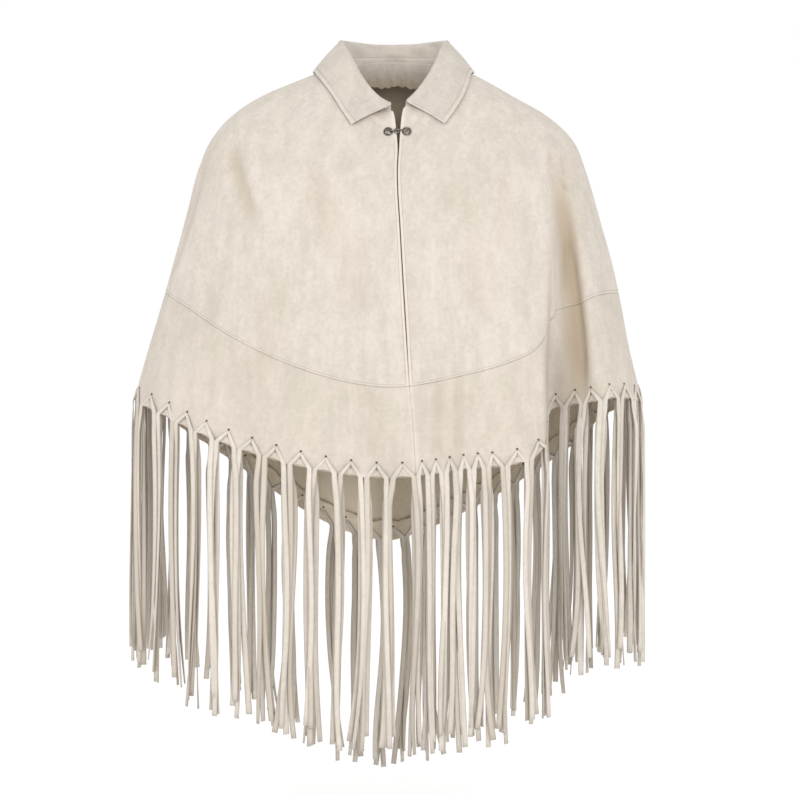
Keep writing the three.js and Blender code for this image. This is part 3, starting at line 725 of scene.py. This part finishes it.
def collar_rows(t, side, p):
    """Points of the collar at stations t from the back to a front edge, on one side. p runs from 0
    at the foot of the stand over the roll to 1 at the outer edge."""
    t, side, p = np.broadcast_arrays(t, side, p)
    lower = eased(5, 10, t) * (side > 0)
    seam_column = side * along(COLLAR[:, 0], t) + 4.2 * eased(6, 10, t)
    edge_column = side * along(COLLAR[:, 1], t) - 2 * lower
    ring = along(COLLAR[:, 2], t) + 0.19 * lower
    stand = along(COLLAR[:, 3], t) + 3.2 * eased(6.5, 10, t) * (side < 0)
    ahead = unit((body(seam_column + 1, NECK) - body(seam_column - 1, NECK)) * LEVEL)
    out = np.stack([ahead[..., 1], -ahead[..., 0], np.zeros(t.shape)], axis=-1)
    up = np.array((0.0, 0.0, 1.0))
    lean = COLLAR_LEAN * np.clip(stand / COLLAR[0, 3], 0, 1)
    foot = body(seam_column, NECK) + (FOOT_IN - WALL) * out + COLLAR_RISE * up
    neck_top = foot + (stand - ROLL)[..., None] * up + (COLLAR_THICK / 2 - lean)[..., None] * out
    centre = neck_top + ROLL * out
    skin = facing(edge_column, ring)
    edge = body(edge_column, ring) + (COLLAR_THICK + COLLAR_CLEAR) * skin
    fall_top = centre + ROLL * out
    a = np.clip(p / STAND_END, 0, 1)[..., None]
    on_stand = foot + (neck_top - foot) * a - 1.2 * np.sin(np.pi * a) * out - 2.2 * (1 - a) ** 3 * up
    turn = np.pi * np.clip((p - STAND_END) / (ROLL_END - STAND_END), 0, 1)[..., None]
    on_roll = centre - ROLL * np.cos(turn) * out + ROLL * np.sin(turn) * up
    b = np.clip((p - ROLL_END) / (1 - ROLL_END), 0, 1)[..., None]
    on_fall = fall_top + (edge - fall_top) * b + 4 * FALL_CROWN * b * (1 - b) * skin
    p = p[..., None]
    return np.where(p < STAND_END, on_stand, np.where(p < ROLL_END, on_roll, on_fall))


# Creases in the front of the collar's fall: width, depth and points as (x, z)
COLLAR_CREASES = [
    (4, 1.1, (-58, -26), (-46, -34), (-34, -46)), (5, 0.8, (-66, -40), (-52, -52)),
    (5, 0.9, (60, -30), (48, -44)),
]
COLLAR_NET = (176, 48)
COLLAR_LENGTH, COLLAR_DEPTH = 520.0, 100.0


def collar_place(u, w, _number):
    u, w = crowded(u, COLLAR_NET[0], COLLAR_LENGTH), crowded(w, COLLAR_NET[1], COLLAR_DEPTH)
    signed = (u - 0.5) * 2
    t = np.abs(signed) ** 0.92 * (len(COLLAR) - 1)
    point = collar_rows(t, np.where(signed < 0, -1.0, 1.0), w)
    for width, depth, *line in COLLAR_CREASES:
        off, _ = from_line(point[..., 0], point[..., 2], line)
        shows = (w > 0.45) & (point[..., 1] < 0)
        point[..., 1] += np.where(shows, depth * bell(off, 0, width), 0)
    point[..., 2] += 0.5 * np.sin(signed * 19 + 2 * w) * eased(0.5, 0.8, w) * eased(1.0, 0.9, w)
    band = 0.9 * eased(0.10, 0.07, w)
    toward = -unit(point * LEVEL + 1e-6)
    # The rim beyond the edge stitching is proud, and the stitching lies in a groove
    edge = np.minimum((1 - w) * 62, np.where(w > 0.4, (1 - np.abs(signed)) * 260, 1e3))
    proud = (0.4 * bell(edge, 2.0, 1.5) - 0.3 * bell(edge, 4.4, 0.9)) * eased(0.4, 0.5, w)
    point = point + proud[:, None] * unit(unit(point * LEVEL) + np.array((0, 0, 0.5)))
    blotch = np.clip(np.sin(signed * 31 + 1) * np.sin(signed * 11 + w * 19) + 0.1, 0, 1)
    # The rims are paler, partly from wear and partly as a painted highlight. The raised seam band at the
    # stand's foot has a painted highlight, and the stand's inner face has painted light, broken by darker
    # blotches
    wear_and_light = 0.6 * bell(edge, 1.4, 1.5) + 0.4 * bell(w, 0.085, 0.02)
    wear_and_light = wear_and_light + (0.85 - 0.9 * blotch) * eased(0.32, 0.24, w)
    return point + band[..., None] * toward, wear_and_light


def collar():
    bm = net(*COLLAR_NET, collar_place)
    bmesh.ops.reverse_faces(bm, faces=bm.faces)
    piece = finished("cloth_collar", bm, "collar", ["collar"], COLLAR_CLOTH)
    edge = piece.modifiers.new("rounded_edge", "BEVEL")
    edge.width = 0.5 * MM
    edge.segments = 2
    edge.limit_method = "ANGLE"
    edge.angle_limit = math.radians(60)
    return piece


def neck_facing():
    """The facing that hangs inside the back of the neck, with a crumpled lower edge."""

    def place(u, w, _number):
        column = mix(72.0, 288.0, u)
        seam = body(column, NECK)
        deep = FACING_DEEP + 1.4 * np.sin(column * 0.21) + 0.6 * np.sin(column * 0.63 + 1)
        rumpled = np.sin(column * 0.55 + 2 * w) + 0.7 * np.sin(column * 1.27 + 1 - 3 * w)
        spread = -3.0 + 9.0 * eased(0.05, 1.0, w) + eased(0.5, 1.0, w) * 1.1 * rumpled
        spread -= 0.5 * bell(w, 0.07, 0.05)
        point = seam + spread[:, None] * unit(seam * LEVEL)
        point[:, 2] += 3.4 - deep * w - eased(0.6, 1.0, w) * 0.8 * np.sin(column * 0.9)
        # Paler at the lower rim and near the top, and darker towards the lower edge with painted shade
        shade = 0.35 * eased(0.95, 1.0, w) + 0.3 * bell(w, 0.08, 0.04)
        return point, shade - 0.9 * eased(0.3, 1.0, w)

    bm = net(240, 26, place)
    bmesh.ops.reverse_faces(bm, faces=bm.faces)
    return finished("neck_facing", bm, "suede", thick=FACING_THICK)


# Sewing

# Length, gap and radius of a stitch, and how far the rows are from the body seam, from the slit's
# edge and from the seam below it
PANEL_STITCH = (2.7, 0.9, 0.36)
COLLAR_STITCH = (2.4, 1.0, 0.33)
SEAM_ROW, SLIT_ROW, MIDDLE_ROW = 3.4, 4.0, 2.6


def stitch_row(bm, points, normals, length, gap, radius):
    """Short threads along a line of points, lying on the cloth."""
    run = run_along(points)
    count = int(run[-1] // (length + gap))
    starts = (np.arange(count) + 0.5) * run[-1] / count

    def at(distance, values):
        return np.stack([np.interp(distance, run, values[:, k]) for k in range(3)], axis=-1)

    middle, ends = at(starts, points), at(starts + length / 2, points)
    ahead = unit(ends - middle)
    out = unit(at(starts, normals))
    beside = unit(np.cross(out, ahead))
    out = np.cross(ahead, beside)
    for c, a, b, n in zip(middle, ahead, beside, out):
        turn = Matrix((a, b, n)).transposed().to_4x4()
        pebble(bm, c, turn, (length / 2, radius, radius * 0.8), 1)


def row_on_cloth(bm, column, v, out):
    stitch_row(bm, cloth(column, v, out), facing(column, v), *PANEL_STITCH)


def sewing():
    bm = bmesh.new()
    for _name, start, end, *_cells in UPPERS:
        column = column_at(np.linspace(start + 0.05, end - 0.05, 700))
        row_on_cloth(bm, column, SEAM - SEAM_ROW / per_ring(column, SEAM - 1, SEAM), 0.05)
    for side in (-1, 1):
        v = np.linspace(1.75, 7.95, 400)
        away = side * (slit_edge(v, side) + SLIT_ROW) / per_degree(0, v)
        row_on_cloth(bm, away % 360, v, 0.15)
        v = np.linspace(8.06, 9.92, 120)
        row_on_cloth(bm, (side * MIDDLE_ROW / per_degree(0, v)) % 360, v, 0.0)
    last = len(COLLAR) - 1
    t, down = np.linspace(0, last, 300), np.linspace(0.5, 0.93, 60)
    for side in (-1.0, 1.0):
        edge, inner = (collar_rows(t, side, p) for p in (0.93, 0.90))
        normal = unit(np.cross(edge - inner, np.gradient(edge, axis=0) * side))
        stitch_row(bm, edge, normal, *COLLAR_STITCH)
        front, beside = (collar_rows(last - away, side, down) for away in (0.18, 0.4))
        normal = unit(np.cross(front - beside, np.gradient(front, axis=0) * -side))
        stitch_row(bm, front + 0.2 * normal, normal, *COLLAR_STITCH)
        foot = collar_rows(t, side, 0.105)
        inward = -unit(foot * LEVEL)
        stitch_row(bm, foot + 0.3 * inward, inward, *COLLAR_STITCH)
    return finished("sewing", bm, "thread")


# Lacing and fringe


def bundle_frame(j):
    """The hem at a bundle, level directions along it and out from it, and its share of room."""
    hem = body(column_at(j), HEM)
    before, after = body(column_at(j - 2), HEM), body(column_at(j + 2), HEM)
    slope = unit(after - before)
    side = unit(slope * LEVEL)
    out = np.array((side[1], -side[0], 0.0))
    level = [math.hypot(*(p - hem)[:2]) for p in (before, after)]
    room = min(max(min(level) / (HEM_TOTAL / LACE_COUNT), 0.72), 1.2)
    return hem, side, out, room


# Steps along a strip below the hem and along its leg from the lace hole, how far its root stands out
# from the cloth, and how far the four strips of a bundle hang out from the hem
STRIP_STEPS = 30
LEG_STEPS = 6
OUTSIDE_LIFT = 1.25
INSIDE_LIFT = -CLOTH_THICK - 2.3
HANGS = (3.2, 1.5, -1.6, -3.2)


def strip_line(j, i, settings):
    """Middle, width direction and half width of one strip, from its lace hole to its tip. i is 0 or
    1 for the strips outside the hem and 2 or 3 for those inside it."""
    hem, side, out, room = bundle_frame(j)
    number = (j % FULL) * 4 + i * 1.37

    def varied(low, high, seed):
        return mix(low, high, chance(number + seed))

    # The leg, from the lace hole down to the hem
    way = -1 if i % 2 == 0 else 1
    outside = i < 2
    at_hem = (4.6 if outside else 2.2) * room * varied(0.7, 1.15, 0.83)
    column_hole, column_here = float(column_at(j + way)), float(column_at(j))
    apart = np.linalg.norm(body(column_hole, HEM) - hem)
    column_hem = column_here + (column_hole - column_here) * min(at_hem / apart, 0.6)
    line, normals = [], []
    for s in np.arange(LEG_STEPS) / (LEG_STEPS - 1):
        column = mix(column_hole, column_hem, s ** 1.05)
        v = ring_above(column, mix(LACE_LINE - 1.0, 0.8, s))
        rise = (OUTSIDE_LIFT if outside else INSIDE_LIFT) * min(1.0, 0.35 + s * 3)
        line.append(cloth(column, v, rise))
        normals.append(facing(column, v))
    # The hanging part: how long it is, how it bows with its bundle and by itself, where and how far
    # it leaves its bundle, and how it turns
    top = line[-1]
    behind = (1 - math.cos(math.radians(column_here))) / 2
    length = mix(FRINGE_FRONT, FRINGE_BACK, behind) * varied(0.955, 1.05, 0)
    length = length + hem[2] - top[2] + 6
    bow = mix(-5.0, 5.0, chance(math.floor(j / 2) + 0.57))
    tight = mix(0.75, 1.25, chance(j * 1.7 + 0.4))
    away = (way * (2.9 if outside else 4.9) * tight + varied(-2.6, 2.6, 0.13)) * room
    leave, flare = varied(0.48, 0.8, 0.29), varied(-85, 85, 0.41)
    if chance(number + 0.77) > 0.88:
        leave, flare = 0.08, varied(-26, 26, 0.61)
    start_turn, end_turn = varied(-0.15, 0.15, 0.19), varied(-1.25, 1.25, 0.91)
    wave = varied(-3.0, 3.0, 0.53)
    settle, depth = (top - hem)[:2] @ side[:2], (top - hem)[:2] @ out[:2]
    sides = []
    for s in (np.arange(STRIP_STEPS) + 1) / STRIP_STEPS:
        calm = float(eased(0, 0.12, s))
        x = mix(settle, away * (1 - 0.25 * math.sin(math.pi * s)), calm)
        x += (bow * math.sin(1.4 * math.pi * s) + wave * math.sin(6 * s + number) * calm) * room
        x += flare * room * max(0.0, s - leave) ** 2.1
        y = mix(depth, HANGS[i], calm) + wave * 0.8 * math.sin(4 * s + 2 * number) * calm
        line.append(hem + side * x + out * y + np.array((0, 0, top[2] - hem[2] - length * s)))
        turn = mix(start_turn, end_turn, s ** 1.5) * calm
        sides.append(side * math.cos(turn) + out * math.sin(turn))
    line = np.array(line)
    tangent = unit(np.gradient(line, axis=0))
    legs = [np.cross(tangent[k], normals[k]) for k in range(LEG_STEPS)]
    legs = [w if w @ side > 0 else -w for w in legs]
    sides[:2] = [mix(legs[-1], sides[k], (k + 1) / 3) for k in range(2)]
    wide = unit(np.array(legs + sides))
    wide = unit(wide - tangent * np.sum(wide * tangent, axis=1, keepdims=True))
    half = np.full(len(line), settings.strip_width / 2 / MM * varied(0.9, 1.08, 0.67))
    half[:LEG_STEPS] *= np.linspace(0.36, 0.92, LEG_STEPS) ** 0.8
    return line, wide, half * mix(0.88, 1, room)


def fringe_group(name, start, end, settings):
    """One length of the fringe: two strips outside and two inside at each bundle."""
    strips = [strip_line(j, i, settings) for j in range(start, end, 2) for i in range(4)]
    lines, wides, halves = (np.array(part) for part in zip(*strips))
    steps = lines.shape[1] - 1

    def place(u, w, number):
        k = np.rint(w * steps).astype(int)
        across = (u - 0.5) * 2
        wide = wides[number, k]
        point = lines[number, k] + wide * (across * halves[number, k])[:, None]
        ahead = lines[number, np.minimum(k + 1, steps)] - lines[number, np.maximum(k - 1, 0)]
        cup = mix(-0.9, 0.9, chance(number * 3.3 + 0.2)) * eased(0.15, 0.5, w) * (1 - across ** 2)
        # Strips differ in tone at random. Those inside are darker with painted shade, those at the far
        # right are lighter with painted light, and the edges of each strip are darker with painted shade
        shade = mix(-0.55, 0.45, chance(number * 5.7 + 0.6 + start)) - 0.1 * (number % 4 > 1)
        shade = shade + 0.3 * eased(250, 310, point[:, 0])
        shade = shade * eased(0.05, 0.2, w) - 0.55 * (np.abs(across) > 0.9)
        return point + unit(np.cross(wide, ahead)) * cup[:, None], shade

    bm = net(4, steps, place, len(strips))
    thick = settings.strip_thick / MM
    return finished("strips_" + name, bm, "strips", ["fringe_" + name], thick, 0.0)


FRINGE_NAMES = ["front_left", "side_left", "back_left", "back_right", "side_right", "front_right"]

# Each lace's dark spots of painted shade, in the hole outside, at the crotch between its legs and in
# the hole inside: how far out from the cloth, size, and how far above the row of holes
HOLE_SHADOWS = ((0.35, 1.7, 1.3), (0.25, 0.8, -8.5), (-CLOTH_THICK - 1.9, 2.0, 1.2))


def lace_hole_shadows():
    """Dark spots of painted shade at the holes that the laces come out of, outside and inside the
    hem, and at the crotch between the legs below each hole.
    """
    bm = bmesh.new()
    for j in range(1, FULL, 2):
        column = float(column_at(j))
        for lift, size, up in HOLE_SHADOWS:
            v = ring_above(column, LACE_LINE + up)
            turn = pointing(facing(column, v) * (1 if lift > 0 else -1))
            pebble(bm, cloth(column, v, lift), turn, (size, size * 0.8, 0.6), 2)
    return finished("lace_hole_shadows", bm, "hole")


# The clasp: how far below the neck it is, how far off the cloth and from the middle its plates are,
# their radius, and how far out its wire runs

CLASP_DROP = 108.0
CLASP_LIFT = 0.7
CLASP_REACH = 12.5
PLATE_RADIUS = 6.5
EYE_DEPTH = -3.0


def clasp_frame():
    """Matrix from the flat clasp, made in X and Z and facing -Y, to its place on the cloth."""
    rings = np.linspace(1, 3, 4001)
    v = rings[int(np.argmax(body(0, rings)[:, 2] <= -CLASP_DROP))]
    point, out = body(0, v), facing(0, v)
    across = unit(np.array((1.0, 0, 0)) - out * out[0])
    upward = -np.cross(across, out)
    return set_at(point, Matrix((across, -out, upward)).transposed().to_4x4())


def plate(bm, side):
    """A round plate with a stepped rim, a ring of fine beads and a domed middle."""
    r = PLATE_RADIUS
    profile = [
        (0, 0), (r - 0.3, 0), (r, 0.3), (r, 0.9), (r - 0.25, 1.2), (r - 0.8, 1.35), (r - 1.1, 1.1),
        (r - 1.9, 1.05), (r - 2.2, 1.45), (r - 2.9, 1.6), (r - 3.4, 2.1), (1.6, 2.6), (0, 2.8),
    ]
    points = [bm.verts.new((x * MM, 0, z * MM)) for x, z in profile]
    edges = [bm.edges.new(pair) for pair in zip(points, points[1:])]
    bmesh.ops.spin(
        bm, geom=points + edges, cent=(0, 0, 0), axis=(0, 0, 1), angle=2 * math.pi, steps=48,
        use_merge=True, use_duplicate=False,
    )
    for k in range(24):
        turn = 2 * math.pi * k / 24
        spot = ((r - 1.5) * math.cos(turn), (r - 1.5) * math.sin(turn), 1.2)
        pebble(bm, spot, Matrix.Identity(4), (0.42, 0.42, 0.42), 2)
    bmesh.ops.remove_doubles(bm, verts=bm.verts, dist=1e-7)
    place = set_at((side * CLASP_REACH, -CLASP_LIFT, 0), Matrix.Rotation(math.radians(90), 4, "X"))
    bmesh.ops.transform(bm, matrix=place, verts=bm.verts)


def wire(bm, points, radius, sides=12):
    """A round wire along points, swept from circles and closed at both ends."""
    path = np.array(points, float)
    fine = np.linspace(0, len(path) - 1, (len(path) - 1) * 6 + 1)
    line = np.stack([along(path[:, k], fine) for k in range(3)], axis=-1)
    tangent = unit(np.gradient(line, axis=0))
    rings = []
    for spot, ahead in zip(line, tangent):
        where = set_at(spot, pointing(ahead))
        made = bmesh.ops.create_circle(bm, segments=sides, radius=radius * MM, matrix=where)
        rings.append(list(dict.fromkeys(e for v in made["verts"] for e in v.link_edges)))
    for before, after in zip(rings, rings[1:]):
        bmesh.ops.bridge_loops(bm, edges=before + after)
    for end in (rings[0], rings[-1]):
        bmesh.ops.holes_fill(bm, edges=end, sides=sides)


def clasp_half(name, side):
    """The plate with the eye, on side -1, or the plate with the hook, on side 1."""
    bm = bmesh.new()
    plate(bm, side)
    if side < 0:
        eye = [(-1.2 + 3.2 * math.cos(a), EYE_DEPTH, 3.2 * math.sin(a))
               for a in np.linspace(math.pi, -math.pi, 13)]
        wire(bm, [(-CLASP_REACH, EYE_DEPTH + 0.6, 0), (-9, EYE_DEPTH, 0), (-4.6, EYE_DEPTH, 0)], 1.0)
        wire(bm, eye, 1.0)
    else:
        hook = [(CLASP_REACH, EYE_DEPTH + 0.6, 0), (7.6, EYE_DEPTH - 0.4, 0),
                (4.6, EYE_DEPTH - 2.1, 0), (2.2, EYE_DEPTH - 2.7, 0), (-0.6, EYE_DEPTH - 2.0, 0),
                (-1.3, EYE_DEPTH - 0.2, 0), (-0.9, EYE_DEPTH + 0.7, 0)]
        wire(bm, hook, 0.9)
    bmesh.ops.recalc_face_normals(bm, faces=bm.faces)
    bmesh.ops.transform(bm, matrix=clasp_frame(), verts=bm.verts)
    return finished("metal_" + name, bm, "metal", [name])


# Operators


def colour_of(name, what, default):
    return bpy.props.FloatVectorProperty(
        name=name, description="Colour of " + what, subtype="COLOR", size=3, min=0, max=1,
        default=linear(default)[:3])


def length_of(name, default, low, high):
    return bpy.props.FloatProperty(
        name=name, description=name + " in the fringe", default=default, min=low, max=high,
        unit="LENGTH")


class PonchoSettings(bpy.types.PropertyGroup):
    suede: colour_of("Suede", "the suede", (199, 190, 180))
    strips: colour_of("Strips", "the laces and the fringe", (202, 194, 184))
    thread: colour_of("Thread", "the sewing", (148, 137, 120))
    metal: colour_of("Clasp", "the clasp's metal", (150, 142, 132))
    nap: bpy.props.FloatProperty(
        name="Nap", description="How strongly the grain of the suede shows", default=0.5, min=0,
        max=2, subtype="FACTOR")
    strip_width: length_of("Strip width", 0.0075, 0.002, 0.02)
    strip_thick: length_of("Strip thickness", 0.0013, 0.0005, 0.004)


class PONCHO_OT_upper(bpy.types.Operator):
    """Make the two upper fronts and the upper back"""
    bl_idname = "poncho.upper"
    bl_label = "Upper panels"

    def execute(self, context):
        for row in UPPERS:
            panel(*row, UPPER_CUT)
        return {"FINISHED"}


class PONCHO_OT_band(bpy.types.Operator):
    """Make the lower bands with their turned-up hems"""
    bl_idname = "poncho.band"
    bl_label = "Lower bands"

    def execute(self, context):
        for row in BANDS:
            panel(*row, BAND_CUT)
            turned_hem(*row[:3])
        return {"FINISHED"}


class PONCHO_OT_collar(bpy.types.Operator):
    """Make the collar on its stand"""
    bl_idname = "poncho.collar"
    bl_label = "Collar"

    def execute(self, context):
        collar()
        neck_facing()
        return {"FINISHED"}


class PONCHO_OT_sewing(bpy.types.Operator):
    """Sew the rows of stitches at the seams, the slit and the collar"""
    bl_idname = "poncho.sewing"
    bl_label = "Sewing"

    def execute(self, context):
        sewing()
        return {"FINISHED"}


class PONCHO_OT_fringe(bpy.types.Operator):
    """Make the painted shade at the lace holes, the laces and the fringe"""
    bl_idname = "poncho.fringe"
    bl_label = "Fringe"

    def execute(self, context):
        lace_hole_shadows()
        for k, name in enumerate(FRINGE_NAMES):
            shares = np.array((k, k + 1)) / len(FRINGE_NAMES) * LACE_PLACES[-1, 1]
            start, end = 2 * np.rint(np.interp(shares, *LACE_PLACES.T[::-1])).astype(int)
            fringe_group(name, int(start), int(end), context.scene.poncho)
        return {"FINISHED"}


class PONCHO_OT_clasp(bpy.types.Operator):
    """Make the hook and the eye on their plates"""
    bl_idname = "poncho.clasp"
    bl_label = "Clasp"

    def execute(self, context):
        clasp_half("clasp_eye", -1)
        clasp_half("clasp_hook", 1)
        return {"FINISHED"}


# In metres: the camera is level, and a pixel is 1.4 mm wide at the garment's middle
FLOOR_Z = -1.10
CAMERA_SPOT = (0.0084, -3.0, -0.467)
AIM = Vector((0, 0, -0.4))
PIXELS = 794
PIXEL = 0.0014
SENSOR = 36.0
LIGHTS = {"key": ((1.0, -3.4, 0.9), 44.0, 2.0), "fill": ((-2.4, -2.8, 0.2), 24.0, 2.5)}


class PONCHO_OT_stage(bpy.types.Operator):
    """Make the floor, the lights and the camera"""
    bl_idname = "poncho.stage"
    bl_label = "Stage"

    def execute(self, context):
        scene = context.scene
        bm = bmesh.new()
        bmesh.ops.create_grid(bm, x_segments=2, y_segments=2, size=40.0)
        bmesh.ops.translate(bm, vec=(0, 0, FLOOR_Z), verts=bm.verts)
        floor = meshed("floor", bm)
        floor.data.materials.append(new_material("pale_floor", {
            **MATT, "Base Color": (0.95, 0.95, 0.95, 1), "Emission Color": (1, 1, 1, 1),
            "Emission Strength": 0.08})[0])
        world = bpy.data.worlds.new("studio")
        world.use_nodes = True
        sky = next(n for n in world.node_tree.nodes if n.type == "BACKGROUND")
        sky.inputs["Color"].default_value = (1, 1, 1, 1)
        sky.inputs["Strength"].default_value = 1.0
        scene.world = world
        for name, (spot, energy, size) in LIGHTS.items():
            light = bpy.data.lights.new(name, "AREA")
            light.energy = energy
            light.size = size
            lamp = added(name, light)
            lamp.location = spot
            lamp.rotation_euler = (AIM - Vector(spot)).to_track_quat("-Z", "Y").to_euler()
        camera = bpy.data.cameras.new("camera")
        camera.sensor_width = SENSOR
        camera.lens = SENSOR * -CAMERA_SPOT[1] / (PIXELS * PIXEL)
        scene.camera = added("camera", camera)
        scene.camera.location = CAMERA_SPOT
        scene.camera.rotation_euler = (math.radians(90), 0, 0)
        scene.view_settings.view_transform = "Standard"
        return {"FINISHED"}


class PONCHO_PT_panel(bpy.types.Panel):
    """The poncho's settings and pieces"""
    bl_idname = "PONCHO_PT_panel"
    bl_label = "Suede poncho"
    bl_space_type = "VIEW_3D"
    bl_region_type = "UI"
    bl_category = "Poncho"

    def draw(self, context):
        for name in ("suede", "strips", "thread", "metal", "nap", "strip_width", "strip_thick"):
            self.layout.prop(context.scene.poncho, name)
        for operator in OPERATORS:
            self.layout.operator(operator.bl_idname)


OPERATORS = (
    PONCHO_OT_upper, PONCHO_OT_band, PONCHO_OT_collar, PONCHO_OT_sewing, PONCHO_OT_fringe,
    PONCHO_OT_clasp, PONCHO_OT_stage,
)


def register():
    for made in (PonchoSettings, *OPERATORS, PONCHO_PT_panel):
        bpy.utils.register_class(made)
    bpy.types.Scene.poncho = bpy.props.PointerProperty(type=PonchoSettings)


def unregister():
    del bpy.types.Scene.poncho
    for made in (PONCHO_PT_panel, *reversed(OPERATORS), PonchoSettings):
        bpy.utils.unregister_class(made)


def main():
    register()
    bpy.ops.poncho.upper()
    bpy.ops.poncho.band()
    bpy.ops.poncho.collar()
    bpy.ops.poncho.sewing()
    bpy.ops.poncho.fringe()
    bpy.ops.poncho.clasp()
    bpy.ops.poncho.stage()


if __name__ == "__main__":
    main()
